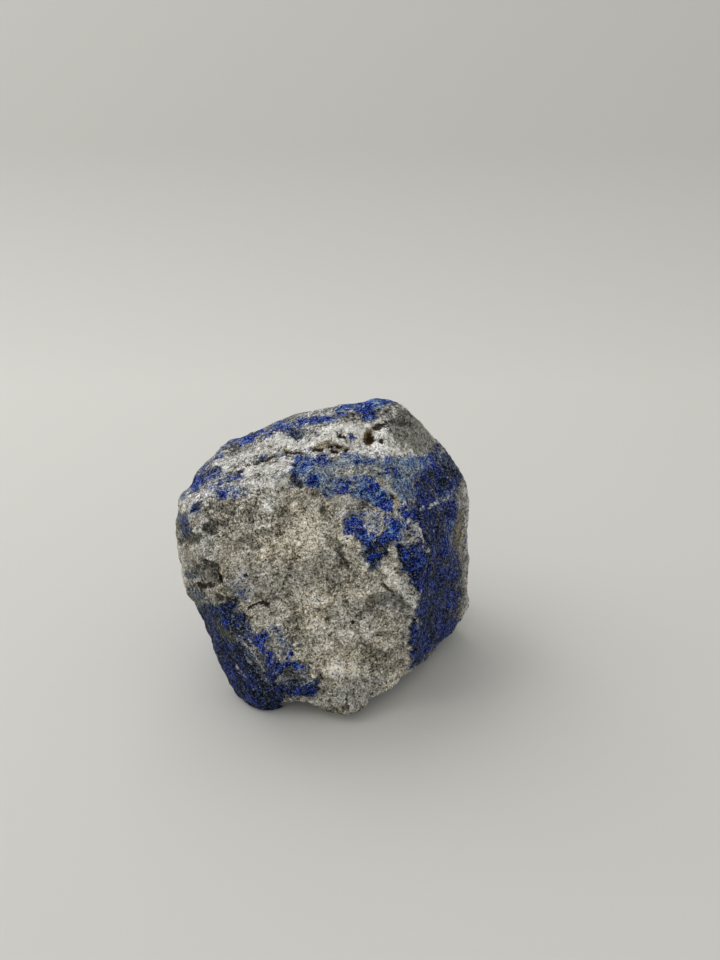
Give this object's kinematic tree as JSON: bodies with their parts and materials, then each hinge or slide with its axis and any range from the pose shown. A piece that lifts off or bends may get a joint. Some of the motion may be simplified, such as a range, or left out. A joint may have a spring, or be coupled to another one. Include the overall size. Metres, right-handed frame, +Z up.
{
  "type": "rough lapis lazuli specimen",
  "caption": "Fist-sized broken lump of blue and grey lapis lazuli rock, standing on its underside as a mineral display piece.",
  "frame": {"origin": "middle of the stone's outline in plan, on the surface that it stands on", "axes": "+Z up, +X along the widest way across from the left cheek to the right side, -Y out of the broad grey front face"},
  "size_m": [0.0672, 0.0512, 0.0616],
  "materials": {
    "lapis_rock": "rough broken rock, mottled blue lazurite and grey calcite"
  },
  "bodies": {
    "root": {"lapis_lazuli_stone": "lapis_rock"}
  },
  "joints": []
}
